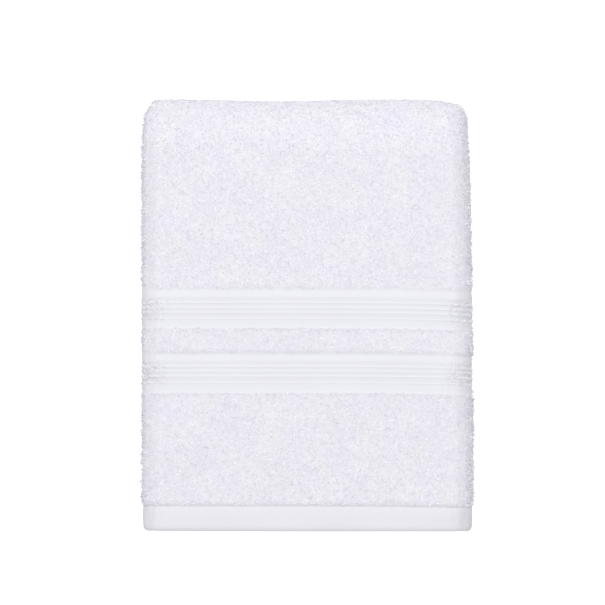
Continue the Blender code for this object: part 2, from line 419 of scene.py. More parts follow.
def pile_share(s):
    """1 where the cloth has loops and 0 where it is flat-woven."""
    distance = from_hem(s)
    share = np.zeros_like(distance)
    for zone, first, last in EDGES:
        if zone.pile:
            inside = np.minimum(distance - first, last - distance) / PILE_EDGE + 0.5
            share = np.maximum(share, np.clip(inside, 0, 1))
    return share


def pile_edge_shade_share(s):
    """Painted shade where a terry field ends at a border beyond it: 1 there, falling to 0 a little way in."""
    distance = from_hem(s)
    pile_edge_shade = np.zeros_like(distance)
    for zone, first, last in EDGES[:-1]:
        if zone.pile:
            inside = (last - distance) / PILE_EDGE_SHADE_WIDTH
            pile_edge_shade = np.maximum(pile_edge_shade, np.where(inside > 0, np.clip(1 - inside * inside, 0, 1), 0))
    return pile_edge_shade


def ribbed_share(distance, zone, first):
    """1 between a border's first and last rib, and 0 on its plain edges."""
    before = np.clip((distance - first - zone.ribs[0] + RIB_MARGIN) / RIB_STEP, 0, 1)
    after = np.clip((first + zone.ribs[-1] + RIB_FAR_MARGIN - distance) / RIB_FAR_STEP, 0, 1)
    return before * after


def rib_crest(distance, zone, first):
    """1 on the crest of a rib, falling to 0 at its foot."""
    crest = np.zeros_like(distance)
    for rib in zone.ribs:
        gap = (distance - first - rib) / RIB_HALF
        crest = np.maximum(crest, np.sqrt(np.clip(1 - gap * gap, 0, 1)))
    return crest


def worn_gap_shade_share(s, t):
    """Where painted shade lies between the worn ribs' frayed ends: all of it at the sides, and none in the
    middle.
    """
    distance = from_hem(s)
    ribbed = [ribbed_share(distance, zone, first) for zone, first, last in EDGES if zone.ribs]
    return np.max(ribbed, axis=0) * side_share(t) ** WORN_SHADE_POWER


def crest_share(s):
    """1 on the crest of any rib, 0 off the ribs."""
    distance = from_hem(s)
    crests = [rib_crest(distance, zone, first) for zone, first, last in EDGES if zone.ribs]
    return np.max(crests, axis=0)


def groove_shade_share(s):
    """Painted shade: 1 between ribs, a little on a border's plain edge towards the hem, 0 on ribs and
    elsewhere.
    """
    distance = from_hem(s)
    groove_shade = np.zeros_like(distance)
    for zone, first, last in EDGES:
        if zone.ribs:
            shade = ribbed_share(distance, zone, first) * (1 - rib_crest(distance, zone, first))
            hem_side = (distance > first) & (distance < first + zone.ribs[0])
            groove_shade = np.maximum(groove_shade, np.maximum(shade, PLAIN_SHADE * hem_side))
    return groove_shade


def cloth_thickness(s, t):
    """Thickness of the woven cloth itself, without its loops."""
    distance = from_hem(s)
    shown = s < STRIP_LENGTH / 2
    flat = np.where(distance < EDGES[0][2] + PILE_EDGE, HEM_THICK, BAND_THICK)
    for zone, first, last in EDGES:
        if zone.ribs:
            uneven = np.clip(rough(s, t) + ROUGH_SHIFT, ROUGH_LEAST, 1)
            worn_and_shaded = 1 - side_share(t) * (WEAR + WEAR_UNEVEN * uneven)
            rise = 2 * RIB_RISE * rib_crest(distance, zone, first) * worn_and_shaded
            flat = flat + np.where(shown, rise, 0)
            flat = flat - 2 * GROOVE_DEPTH * ribbed_share(distance, zone, first)
            plain = np.clip((first + zone.ribs[0] - distance) / zone.ribs[0], 0, 1)
            flat = flat - 2 * BORDER_DIP * 4 * plain * (1 - plain) - 2 * BORDER_FALL * plain * (2 - plain)
            ribs_end, width = first + zone.ribs[-1], zone.width - zone.ribs[-1]
            plain = np.clip((distance - ribs_end) / width, 0, 1)
            flat = flat - np.where(distance > ribs_end, 2 * BORDER_LIFT * plain, 0)
    crest = np.clip(1 - (EDGES[0][2] - distance) / HEM_CREST_WIDTH, 0, 1)
    flat = flat - HEM_CREST * crest**2 * (distance < EDGES[0][2])
    share = pile_share(s)
    thick = flat * (1 - share) + GROUND_THICK * share
    rounded = np.clip(distance / HEM_ROUND, 0, 1)
    edge = HEM_EDGE_SHARE + (1 - HEM_EDGE_SHARE) * np.sqrt(1 - (1 - rounded) ** 2)
    return thick * edge


# %% [markdown]
# The top face isn't quite flat: the outer fold pulls soft slanting ridges into the cloth beside it, and the
# two terry fields have low swells and hollows. They are listed here, each with its own place, size,
# direction and height, all well under a millimetre, as they are on a towel that was smoothed by hand.

# %% Soft ridges and hollows on the top face
Swell = namedtuple("Swell", "x y long wide turn rise")
SWELLS = (
    Swell(-0.066, 0.204, 0.012, 0.008, 40, 0.00022),
    Swell(-0.041, 0.207, 0.010, 0.006, 115, 0.00024),
    Swell(-0.015, 0.206, 0.013, 0.006, 120, 0.00026),
    Swell(-0.031, 0.194, 0.010, 0.006, 100, 0.00020),
    Swell(0.001, 0.193, 0.009, 0.007, 110, 0.00026),
    Swell(0.014, 0.201, 0.016, 0.005, 118, 0.00028),
    Swell(0.031, 0.202, 0.017, 0.005, 115, 0.00030),
    Swell(0.047, 0.204, 0.018, 0.005, 112, 0.00028),
    Swell(0.064, 0.198, 0.011, 0.006, 105, 0.00020),
    Swell(-0.062, 0.176, 0.016, 0.012, 60, -0.00022),
    Swell(-0.027, 0.179, 0.014, 0.005, 125, 0.00018),
    Swell(0.026, 0.171, 0.010, 0.007, 90, -0.00022),
    Swell(0.055, 0.160, 0.018, 0.012, 70, 0.00016),
    Swell(-0.012, 0.152, 0.012, 0.008, 30, 0.00018),
    Swell(-0.060, 0.135, 0.014, 0.008, 20, -0.00018),
    Swell(0.018, 0.145, 0.010, 0.008, 0, -0.00018),
    Swell(-0.066, 0.064, 0.014, 0.008, 10, -0.00024),
    Swell(0.002, 0.062, 0.012, 0.006, 150, -0.00022),
    Swell(-0.060, 0.041, 0.013, 0.008, 170, 0.00026),
    Swell(-0.040, 0.036, 0.012, 0.008, 150, 0.00020),
    Swell(-0.056, 0.027, 0.020, 0.006, 175, -0.00028),
    Swell(0.032, 0.044, 0.012, 0.006, 160, -0.00022),
    Swell(0.055, 0.050, 0.016, 0.007, 140, 0.00020),
    Swell(0.066, 0.060, 0.008, 0.014, 90, -0.00018),
)
SWELLS_MIDDLE, SWELLS_REACH = 0.120, 0.155
MOTTLE_RISE = 0.00006
LUMP_RISE = 0.00007
HEM_RIPPLE, HEM_RIPPLE_LENGTH, HEM_RIPPLE_SLANT = 0.00005, 0.0042, 40
HEM_RIPPLE_REACH, RIPPLES_FROM_SIDE, RIPPLES_REACH = 0.012, 0.004, 0.030


def relief(s, t):
    """How far the skin stands above its smooth fold."""
    pile = pile_share(s)
    rise = pile * (MOTTLE_RISE * mottle(s, t) + LUMP_RISE * lumps(s, t))
    hem = bump(from_hem(s), HEM_RIPPLE_REACH) * bump(t + SIDE_EDGE[-1] - RIPPLES_FROM_SIDE, RIPPLES_REACH)
    rise = rise + HEM_RIPPLE * hem * np.sin(2 * math.pi * t / HEM_RIPPLE_LENGTH + HEM_RIPPLE_SLANT * s)
    shown = bump(s - SWELLS_MIDDLE, SWELLS_REACH) > 0
    for swell in SWELLS:
        turn = math.radians(swell.turn)
        dx, dy = t - swell.x, s - swell.y
        far = (dx * math.cos(turn) + dy * math.sin(turn)) / swell.long
        off = (dy * math.cos(turn) - dx * math.sin(turn)) / swell.wide
        rise = rise + np.where(shown, swell.rise * np.exp(-far * far - off * off), 0)
    return rise


def skin(s, t, above=0.0):
    """Points on the outer face of the cloth, raised by a little, with its three directions."""
    along, across, out = directions(s, t)
    rise = relief(s, t) + cloth_thickness(s, t) / 2 + above
    return place(s, t) + out * rise[..., None], along, across, out


print("ridges and hollows set by hand:", len(SWELLS))

# %% [markdown]
# The cloth is one sheet, and a sheet is a grid of rows and columns. Rows lie close together where ribs or a
# fold need them, and far apart inside the stack, where nothing shows. Columns are closest at the worn ends
# of the ribs and in the side turns. Such a sheet has sharp ribs without a fine mesh everywhere.

# %% Rows and columns of the sheet
ROW_STEP = {"hem": 0.0010, "terry": 0.0024, "band": 0.0016, "ribs": 0.00031}
FOLD_STEP = {"near": 0.00192, "inner": 0.0012}
HIDDEN_STEP, HIDDEN_END_STEP = 0.0120, 0.0040
STEP_SLACK = 1e-6
RIB_ROOM = 0.0025
HEM_ROUND_STEPS = (0.04, 0.12, 0.25, 0.45, 0.70, 1.00)
COLUMN_STEP = 0.0022
SIDE_STEP = 0.0008
SIDE_STEPS = {-1: 8, +1: 11}
FLAP_STEPS = 8


def steps(first, last, longest):
    """Evenly spaced numbers after first, up to last."""
    count = max(1, math.ceil(abs(last - first) / longest - STEP_SLACK))
    return [first + (last - first) * (i + 1) / count for i in range(count)]


def end_rows(ribbed):
    """Distances from a hem's edge up to the plain terry."""
    rows = [0.0] + [HEM_ROUND * share for share in HEM_ROUND_STEPS]
    for zone, first, last in EDGES[:-1]:
        start = max(first + PILE_EDGE / 2, rows[-1])
        end = last - PILE_EDGE / 2
        if first > 0:
            rows.append(start)
        if zone.ribs and ribbed:
            rib_start = first + zone.ribs[0] - RIB_ROOM
            rib_end = first + zone.ribs[-1] + RIB_ROOM
            rows += steps(start, rib_start, ROW_STEP["band"])
            rows += steps(rib_start, rib_end, ROW_STEP["ribs"])
            rows += steps(rib_end, end, ROW_STEP["band"])
        else:
            longest = ROW_STEP["hem"] if zone.name == "hem" else ROW_STEP["terry"]
            rows += steps(start, end, longest if ribbed else HIDDEN_END_STEP)
    rows.append(EDGES[-1][1] + PILE_EDGE / 2)
    return rows


def sheet_rows():
    """Every row of the sheet, as distances along the strip."""
    rows = end_rows(ribbed=True)
    rows += steps(rows[-1], TOP_LEG.length, ROW_STEP["terry"])
    rows += steps(OUTER_FOLD.start, FLOOR_LEG.start, ROW_STEP["terry"])
    rows += steps(FLOOR_LEG.start, NEAR_FOLD.start, HIDDEN_STEP)
    rows += steps(NEAR_FOLD.start, LOWER_LEG.start, FOLD_STEP["near"])
    rows += steps(LOWER_LEG.start, INNER_FOLD.start, HIDDEN_STEP)
    rows += steps(INNER_FOLD.start, UPPER_LEG.start, FOLD_STEP["inner"])
    hidden = [STRIP_LENGTH - distance for distance in end_rows(ribbed=False)]
    rows += steps(UPPER_LEG.start, hidden[-1], HIDDEN_STEP)[:-1]
    return np.array(rows + hidden[::-1])


def sheet_columns():
    """Every column of the sheet, as distances from the middle."""
    left, right = -SIDE_EDGE[-1], SIDE_EDGE[+1]
    columns = [LEFT_END] + steps(LEFT_END, left - SIDE_TURN[-1], FLAP / FLAP_STEPS)
    columns += steps(columns[-1], left, SIDE_TURN[-1] / SIDE_STEPS[-1])
    columns += steps(left, left + ROUGH_END, SIDE_STEP)
    columns += steps(left + ROUGH_END, right - ROUGH_END, COLUMN_STEP)
    columns += steps(right - ROUGH_END, right, SIDE_STEP)
    columns += steps(right, right + SIDE_TURN[+1], SIDE_TURN[+1] / SIDE_STEPS[+1])
    columns += steps(columns[-1], RIGHT_END, FLAP / FLAP_STEPS)
    return np.array(columns)


ROWS, COLUMNS = sheet_rows(), sheet_columns()
print("rows:", len(ROWS), "columns:", len(COLUMNS), "triangles:", 4 * len(ROWS) * len(COLUMNS))

# %% [markdown]
# Carrying each point of a flat grid to its place in the folds is surer than bending twelve plies one by
# one, and keeps the sheet whole. A vertex group then holds the thickness at each point, so one Solidify
# modifier makes hem, borders, ribs and terry. The shares that the points keep are for the material.

# %% Fold the grid
GROOVE_FADE = 0.5


def activate(thing):
    """Makes a thing the only selected and active one."""
    bpy.ops.object.select_all(action="DESELECT")
    thing.select_set(True)
    bpy.context.view_layer.objects.active = thing


def link(thing):
    """Puts a new object into the scene."""
    bpy.context.scene.collection.objects.link(thing)


def set_points(mesh, points):
    """Puts a mesh's vertices at these points."""
    mesh.vertices.foreach_set("co", np.ascontiguousarray(points, np.float32).ravel())
    mesh.update()


def keep_share(mesh, name, values):
    """Keeps a number on each point of a mesh, for its material."""
    layer = mesh.attributes.new(name, "FLOAT", "POINT")
    layer.data.foreach_set("value", values.astype(np.float32))


def make_cloth():
    """The folded cloth as one closed sheet."""
    bpy.ops.mesh.primitive_grid_add(
        x_subdivisions=len(COLUMNS) - 1, y_subdivisions=len(ROWS) - 1, size=1
    )
    cloth = bpy.context.object
    cloth.name = "cloth"
    flat = np.empty(len(cloth.data.vertices) * 3, np.float32)
    cloth.data.vertices.foreach_get("co", flat)
    flat = flat.reshape(-1, 3)
    column = np.rint((flat[:, 0] + 0.5) * (len(COLUMNS) - 1)).astype(int)
    row = np.rint((flat[:, 1] + 0.5) * (len(ROWS) - 1)).astype(int)
    s, t = ROWS[row], COLUMNS[column]
    out = directions(s, t)[2]
    points = place(s, t) + out * relief(s, t)[:, None]
    set_points(cloth.data, points)

    thickness = cloth_thickness(s, t)
    thickest = float(thickness.max())
    group = cloth.vertex_groups.new(name="thickness")
    for index, share in enumerate(thickness / thickest):
        group.add([index], float(share), "REPLACE")
    border = ((from_hem(s) > EDGES[1][2]) * (1 - pile_share(s))).astype(float)
    # Painted shade between the ribs, fading at the sides.
    groove_shade = groove_shade_share(s) * (1 - GROOVE_FADE * side_share(t))
    shares = {"pile": pile_share(s), "border": border, "groove_shade": groove_shade}
    # Painted shade between the frayed ends of the worn ribs, less of it on their crests.
    worn_and_shaded = worn_gap_shade_share(s, t) * (1 - WORN_CREST * crest_share(s))
    # The terry's edge by a border carries painted shade, kept here for the material.
    shares.update({"pile_edge_shade": pile_edge_shade_share(s), "side": side_share(t), "worn_and_shaded": worn_and_shaded})
    for name, values in shares.items():
        keep_share(cloth.data, name, values)

    activate(cloth)
    solid = cloth.modifiers.new("thickness", "SOLIDIFY")
    solid.thickness = thickest
    solid.offset = 0.0
    solid.vertex_group = group.name
    bpy.ops.object.modifier_apply(modifier=solid.name)
    cloth.vertex_groups.clear()
    cloth.data.shade_smooth()
    return cloth


cloth = make_cloth()
print("the folded sheet has", len(cloth.data.polygons), "faces")

# %% [markdown]
# The solid model's box stands centred over the origin, so the sheet has to move there too. The loops will
# stand about where the solid's skin is, so the box of that skin is centred on the solid's. The two boxes
# differ in size by less than a millimetre, because this sheet is rolled down and uneven in more places.

# %% Move the sheet to the solid's place
SKIN_HEM_REACH, SKIN_HEM_HALF = 0.0030, 0.00075


def points_of(thing):
    """A mesh's vertices as an array."""
    points = np.empty(len(thing.data.vertices) * 3, np.float32)
    thing.data.vertices.foreach_get("co", points)
    return points.reshape(-1, 3).astype(float)


def solid_skin_box():
    """Lowest and highest corner of the terry's outer skin, before it is moved."""
    s, t = np.meshgrid(ROWS, COLUMNS)
    s, t = s.ravel(), t.ravel()
    out = directions(s, t)[2]
    half = np.where(from_hem(s) < SKIN_HEM_REACH, SKIN_HEM_HALF, TERRY_THICK / 2)[:, None]
    both = np.concatenate([place(s, t) + out * half, place(s, t) - out * half])
    return both.min(axis=0), both.max(axis=0)


low, high = solid_skin_box()
MOVE = (TOWEL_LOW + TOWEL_HIGH) / 2 - (low + high) / 2
MOVE[2] = TOWEL_LOW[2] - low[2]
set_points(cloth.data, points_of(cloth) + MOVE)
print("skin against the solid's box, in mm:", np.round((high - low - TOWEL_HIGH + TOWEL_LOW) * 1000, 2))
print("moved by, in mm:", np.round(MOVE * 1000, 2))

# %% [markdown]
# A terry loop is a bit of soft, twisted yarn that comes out of the cloth, bows over and goes in again, and
# no two bow quite alike. Each one here is a bent tube with three sides and a few joints, which is enough
# for something about a millimetre long. Thousands are computed together as one array and joined into one
# mesh, because so many separate objects would be slow to make and to draw. There are four kinds: low ones
# on the faces, slightly higher ones on the outer fold, tall tufts at the sides, and the frayed ends of ribs.

# %% How a patch of loops is made
TOP_SPACING = 0.00108
SIDE_SPACING = 0.00130
NEAR_SPACING = 0.00160
SINK = 0.00020
Patch = namedtuple("Patch", "s0 s1 t0 t1")
LoopKind = namedtuple("LoopKind", "span rise spread bow yarn flatness joints dullest")
FULL = LoopKind(0.00130, 0.00013, 0.40, 0.00035, 0.00021, 0.55, 3, 0.0)
FOLD = LoopKind(0.00130, 0.00016, 0.55, 0.00035, 0.00021, 0.58, 3, 0.0)
TUFT = LoopKind(0.00130, 0.00068, 1.00, 0.00040, 0.00024, 0.70, 3, 0.0)
# Worn ends start from a high number, so most of them get the painted highlight.
WORN = LoopKind(0.00110, 0.00036, 0.50, 0.00020, 0.00017, 0.90, 3, 0.70)
# Loops by the hem's edge of the pile get a raised number, so most take the painted highlight.
HEM_EDGE_HIGHLIGHT, HEM_EDGE_HIGHLIGHT_REACH = 0.80, 0.0020
TUBE_SIDES = 3
SLANT_SPREAD = 0.35
SPAN_SPREAD, YARN_SPREAD = 0.25, 0.15
BOW_LIMIT, SKEW_LIMIT = 1.6, 0.28
ARCH_POWER = 0.8
JITTER = 0.42
MAP_MARGIN = 0.1


def scatter(patch, spacing, stretch_s, stretch_t, rng):
    """Evenly scattered places on a patch of the skin, without those where the cloth is bunched up."""
    step_s, step_t = spacing / stretch_s, spacing / stretch_t
    rows = max(1, round((patch.s1 - patch.s0) / step_s))
    columns = max(1, round((patch.t1 - patch.t0) / step_t))
    row, column = np.meshgrid(np.arange(rows), np.arange(columns), indexing="ij")
    jitter = rng.uniform(-JITTER, JITTER, (2, rows, columns))
    s = patch.s0 + (row + 0.5 + jitter[0]) * (patch.s1 - patch.s0) / rows
    t = patch.t0 + (column + 0.5 * (row % 2) + 0.25 + jitter[1]) * (patch.t1 - patch.t0) / columns
    s, t = s.ravel(), t.ravel()
    ground = skin_step_area(s, t)
    keep = rng.uniform(0, 1, s.size) < ground / (stretch_s * stretch_t)
    return s[keep], t[keep]


def scatter_all(patches, spacing, stretch_s, stretch_t, rng):
    """Scattered places on several patches, one after the other."""
    found = [scatter(patch, spacing, stretch_s, stretch_t, rng) for patch in patches]
    return [np.concatenate(distances) for distances in zip(*found)]


def skin_step_area(s, t):
    """How much the outer skin is stretched, against distances on the middle of the cloth."""
    lift = GROUND_THICK / 2
    corner = [
        place(s + ds, t + dt) + lift * directions(s + ds, t + dt)[2]
        for ds, dt in ((-PROBE, 0), (PROBE, 0), (0, -PROBE), (0, PROBE))
    ]
    crossed = np.cross(corner[1] - corner[0], corner[3] - corner[2])
    return np.linalg.norm(crossed, axis=-1) / (2 * PROBE) ** 2


def make_loops(name, places, kind, seed, lean=None, slant=None):
    """A mesh of loops at (s, t) places. lean is how far each one bows over along the strip."""
    s, t = places
    rng = np.random.default_rng(seed)
    count = s.size
    root, along, across, out = skin(s, t, above=-SINK)
    root = root + MOVE
    turn = rng.uniform(0, math.pi, count) if slant is None else rng.normal(slant, SLANT_SPREAD)
    turn = turn[:, None]
    line = np.cos(turn) * across + np.sin(turn) * along
    side = np.cross(out, line)

    span = kind.span * rng.uniform(1 - SPAN_SPREAD, 1 + SPAN_SPREAD, count)[:, None, None]
    spread = rng.uniform(1 - kind.spread, 1 + kind.spread, count)[:, None, None]
    rise = (kind.rise + SINK) * spread
    bow = kind.bow * rng.normal(0, 1, count).clip(-BOW_LIMIT, BOW_LIMIT)[:, None, None]
    skew = rng.uniform(-SKEW_LIMIT, SKEW_LIMIT, count)[:, None, None]
    yarn = kind.yarn * rng.uniform(1 - YARN_SPREAD, 1 + YARN_SPREAD, count)[:, None, None]

    e = np.linspace(-1, 1, kind.joints + 1)[None, :, None]
    arch = np.cos(e * math.pi / 2) ** ARCH_POWER
    ends = np.sin(e * math.pi / 2)
    centre = root[:, None] + line[:, None] * (span / 2 * ends + skew * span * arch)
    centre = centre + out[:, None] * (rise * arch) + side[:, None] * (bow * arch)
    if lean is not None:
        centre = centre + along[:, None] * (lean[:, None, None] * arch)

    heading = unit(np.gradient(centre, axis=1))
    flat = unit(side[:, None] - heading * np.sum(side[:, None] * heading, axis=-1, keepdims=True))
    upright = np.cross(heading, flat) * kind.flatness
    spin = rng.uniform(0, 2 * math.pi, count)[:, None, None]
    rings = []
    for side_index in range(TUBE_SIDES):
        angle = spin + 2 * math.pi * side_index / TUBE_SIDES
        rings.append(centre + yarn * (np.cos(angle) * flat + np.sin(angle) * upright))
    points = np.stack(rings, axis=2).reshape(-1, 3)
    points[:, 2] = np.maximum(points[:, 2], TOWEL_LOW[2])

    per_loop = (kind.joints + 1) * TUBE_SIDES
    quads = []
    for joint in range(kind.joints):
        for side_index in range(TUBE_SIDES):
            here = joint * TUBE_SIDES + side_index
            beside = joint * TUBE_SIDES + (side_index + 1) % TUBE_SIDES
            quads.append((here, beside, beside + TUBE_SIDES, here + TUBE_SIDES))
    quads = np.array(quads)
    faces = (np.arange(count)[:, None, None] * per_loop + quads[None]).reshape(-1, 4)

    mesh = bpy.data.meshes.new(name)
    mesh.vertices.add(len(points))
    mesh.vertices.foreach_set("co", points.astype(np.float32).ravel())
    mesh.loops.add(faces.size)
    mesh.loops.foreach_set("vertex_index", faces.astype(np.int32).ravel())
    mesh.polygons.add(len(faces))
    mesh.polygons.foreach_set("loop_start", (np.arange(len(faces)) * 4).astype(np.int32))
    mesh.update(calc_edges=True)
    # A number per loop picks painted shade or a painted highlight; near the hem it is raised towards the
    # highlight.
    shade_and_highlight = rng.uniform(kind.dullest, 1, count) + HEM_EDGE_HIGHLIGHT * bump(from_hem(s) - EDGES[0][2], HEM_EDGE_HIGHLIGHT_REACH)
    keep_share(mesh, "shade_and_highlight", np.repeat(shade_and_highlight, per_loop))
    # Painted shade on the loops where terry meets a border.
    keep_share(mesh, "pile_edge_shade", np.repeat(pile_edge_shade_share(s), per_loop))
    add_loop_map(mesh, count, kind.joints)
    mesh.shade_flat()
    loops = bpy.data.objects.new(name, mesh)
    link(loops)
    print(name, "loops:", count, "triangles:", 2 * len(faces))
    return loops


def add_loop_map(mesh, count, joints):
    """A UV map that gives each loop a small square of its own."""
    cells = math.ceil(math.sqrt(count))
    number = np.arange(count)
    corner = np.stack([number % cells, number // cells], axis=-1) / cells
    pattern = []
    for joint in range(joints):
        for side_index in range(TUBE_SIDES):
            u0, u1 = side_index / TUBE_SIDES, (side_index + 1) / TUBE_SIDES
            v0, v1 = joint / joints, (joint + 1) / joints
            pattern += [(u0, v0), (u1, v0), (u1, v1), (u0, v1)]
    pattern = MAP_MARGIN + (1 - 2 * MAP_MARGIN) * np.array(pattern)
    uv = corner[:, None] + pattern[None] / cells
    layer = mesh.uv_layers.new(name="OFBake")
    layer.data.foreach_set("uv", uv.astype(np.float32).ravel())


print("rise of each kind of loop, in mm:", [round(kind.rise * 1000, 2) for kind in (FULL, FOLD, TUFT, WORN)])

# %% [markdown]
# The loops are set where they show: on the top face, round the outer and near folds and round both
# sides of every ply. A loop is kept more often where the skin is stretched, so the pile is as dense in a
# fold as on the flat. At the borders of a terry field the outermost loops have no neighbour to hold them
# up, so they lean out over the flat weave and hide its edge.

# %% Loops on every face that shows
PILE_LEAN = 0.00020
LEAN_WIDTH = 0.0012
EDGE_INSET = 0.0003
NEAR_BEFORE, NEAR_BEYOND = 0.010, 0.004
TUCK = 0.0010


def terry_fields():
    """The terry zones of the top leg, as (first, last) distances along the strip."""
    fields = []
    for zone, first, last in EDGES:
        if zone.pile:
            fields.append((first + EDGE_INSET, min(last - EDGE_INSET, TOP_LEG.length)))
    return fields


def edge_lean(s, fields):
    """Loops by a field's border lean out of it."""
    lean = np.zeros_like(s)
    for first, last in fields:
        inside = (s >= first) & (s <= last)
        lean -= np.where(inside, np.clip(1 - (s - first) / LEAN_WIDTH, 0, 1), 0)
        if last < TOP_LEG.length:
            lean += np.where(inside, np.clip(1 - (last - s) / LEAN_WIDTH, 0, 1), 0)
    return lean * PILE_LEAN


FIELDS = terry_fields()
LEFT, RIGHT = -SIDE_EDGE[-1], SIDE_EDGE[+1]
PILE = []


def add_field(name, ranges, t0, t1, spacing, seed, stretch_s=1.0, stretch_t=1.0, kind=FULL):
    """One piece of loops over some ranges along the strip."""
    rng = np.random.default_rng(seed)
    patches = [Patch(s0, s1, t0, t1) for s0, s1 in ranges]
    s, t = scatter_all(patches, spacing, stretch_s, stretch_t, rng)
    PILE.append(make_loops(name, (s, t), kind, seed + 1, edge_lean(s, FIELDS)))


add_field("loops_end", FIELDS[:2], LEFT, RIGHT, TOP_SPACING, 101)
add_field("loops_middle", FIELDS[2:], LEFT, RIGHT, TOP_SPACING, 103)
outer = (OUTER_FOLD.start, FLOOR_LEG.start)
add_field("loops_outer_fold", [outer], LEFT, RIGHT, TOP_SPACING, 105, stretch_s=1.05, kind=FOLD)
near = (NEAR_FOLD.start - NEAR_BEFORE, LOWER_LEG.start + NEAR_BEYOND)
add_field("loops_near_fold", [near], LEFT, RIGHT, NEAR_SPACING, 107, stretch_s=1.08)

end_of_sides = STRIP_LENGTH - EDGES[0][2]
side_ranges = FIELDS + [(OUTER_FOLD.start, end_of_sides)]
for name, side, edge, seed in (("loops_left", -1, LEFT, 109), ("loops_right", +1, RIGHT, 111)):
    t0, t1 = sorted((edge, edge + side * (SIDE_TURN[side] + TUCK)))
    stretch = 1 + GROUND_THICK / 2 / SIDE_RADIUS[side]
    add_field(name, side_ranges, t0, t1, SIDE_SPACING, seed, stretch_t=stretch, kind=TUFT)

# %% [markdown]
# Near the selvedges the ribs of the borders are worn, and their yarn stands up in short ends. These are
# made as loops too, but smaller, and on a slant that is mirrored from side to side. There are more of them
# the nearer the side is, and most stand on the crests, so that each rib can be followed to the edge.

# %% Worn ends of the ribs
WORN_SPACING = 0.00047
WORN_SLANT = math.radians(45)
WORN_IN_GROOVES, WORN_ON_CRESTS = 0.1, 0.8


def worn_places(side, seed):
    """Places on the ribbed cloth by one side, thinning out towards the middle."""
    rng = np.random.default_rng(seed)
    edge = SIDE_EDGE[side]
    t0, t1 = sorted((side * (edge - ROUGH_END), side * (edge + SIDE_TURN[side])))
    patches = []
    for zone, first, last in EDGES:
        if zone.ribs:
            s0, s1 = first + zone.ribs[0] - RIB_MARGIN, first + zone.ribs[-1] + RIB_FAR_MARGIN
            patches.append(Patch(s0, s1, t0, t1))
    s, t = scatter_all(patches, WORN_SPACING, 1.0, 1.0, rng)
    chance = side_share(t) ** WORN_POWER * (WORN_IN_GROOVES + WORN_ON_CRESTS * crest_share(s))
    keep = rng.uniform(0, 1, s.size) < chance
    return s[keep], t[keep]


left_places, right_places = worn_places(-1, 121), worn_places(+1, 123)
both_places = [np.concatenate(pair) for pair in zip(left_places, right_places)]
slants = np.sign(both_places[1]) * WORN_SLANT
PILE.append(make_loops("worn_ribs", both_places, WORN, 125, slant=slants))
print("loops in all, triangles:", sum(2 * len(piece.data.polygons) for piece in PILE))

# %% [markdown]
# A finish in Blender is a tree of nodes, and a shade that changes over the cloth is a small formula of them.
# Two small classes let the nodes be written as sums, so a formula here reads as it would on paper. They
# are the same for every material and for the light.

# %% A small way to write node trees
PRINCIPLED = "Principled BSDF"
MIX_FACTOR, MIX_FIRST, MIX_SECOND, MIX_RESULT = 0, 6, 7, 2


class Value:
    """A node's output that can take part in sums."""

    def __init__(self, tree, socket):
        self.tree = tree
        self.socket = socket

    def maths(self, operation, first, second):
        return self.tree.node("ShaderNodeMath", {"operation": operation}, {0: first, 1: second})

    def __add__(self, other):
        return self.maths("ADD", self, other)

    def __radd__(self, other):
        return self.maths("ADD", other, self)

    def __sub__(self, other):
        return self.maths("SUBTRACT", self, other)

    def __rsub__(self, other):
        return self.maths("SUBTRACT", other, self)

    def __mul__(self, other):
        return self.maths("MULTIPLY", self, other)

    def __rmul__(self, other):
        return self.maths("MULTIPLY", other, self)


class Tree:
    """The nodes of a material or of the world."""

    def __init__(self, owner, shader):
        owner.use_nodes = True
        self.owner = owner
        self.nodes = owner.node_tree.nodes
        self.links = owner.node_tree.links
        self.shader = self.nodes[shader]

    def node(self, kind, settings=(), inputs=(), output=0):
        """Adds a node, with its settings set first, and gives its output."""
        made = self.nodes.new(kind)
        for key, value in dict(settings).items():
            setattr(made, key, value)
        for key, value in dict(inputs).items():
            self.put(made.inputs[key], value)
        return Value(self, made.outputs[output])

    def put(self, socket, value):
        """Links a value to a socket, or sets the socket to a number or colour."""
        if isinstance(value, Value):
            self.links.new(value.socket, socket)
        else:
            socket.default_value = value

    def set(self, name, value):
        """Gives one of the shader's sockets a value, a colour or a link."""
        self.put(self.shader.inputs[name], value)

    def place(self):
        """The point that is shaded, in the object's own metres."""
        return self.node("ShaderNodeTexCoord", output="Object")

    def split(self, vector):
        """The three numbers of a vector."""
        parts = self.node("ShaderNodeSeparateXYZ", inputs={0: vector})
        return [Value(self, socket) for socket in parts.socket.node.outputs]

    def noise(self, vector, scale, detail=2.0):
        """Soft noise between 0 and 1. The scale is how many waves go into a metre."""
        inputs = {"Vector": vector, "Scale": scale, "Detail": detail}
        return self.node("ShaderNodeTexNoise", {}, inputs)

    def ramp(self, value, low, high):
        """0 where the value is low or beyond, rising to 1 where it is high."""
        inputs = {"Value": value, "From Min": low, "From Max": high}
        return self.node("ShaderNodeMapRange", {"clamp": True}, inputs)

    def mix(self, factor, first, second):
        """A colour between two colours."""
        inputs = {MIX_FACTOR: factor, MIX_FIRST: first, MIX_SECOND: second}
        return self.node("ShaderNodeMix", {"data_type": "RGBA"}, inputs, MIX_RESULT)

    def attribute(self, name):
        """A share that the mesh keeps on its points."""
        return self.node("ShaderNodeAttribute", {"attribute_name": name}, output="Fac")

    def bump(self, value, distance, strength):
        """A normal tilted as if the value were a height."""
        inputs = {"Height": value, "Distance": distance, "Strength": strength}
        return self.node("ShaderNodeBump", {}, inputs)


print("node helpers are ready for", PRINCIPLED)
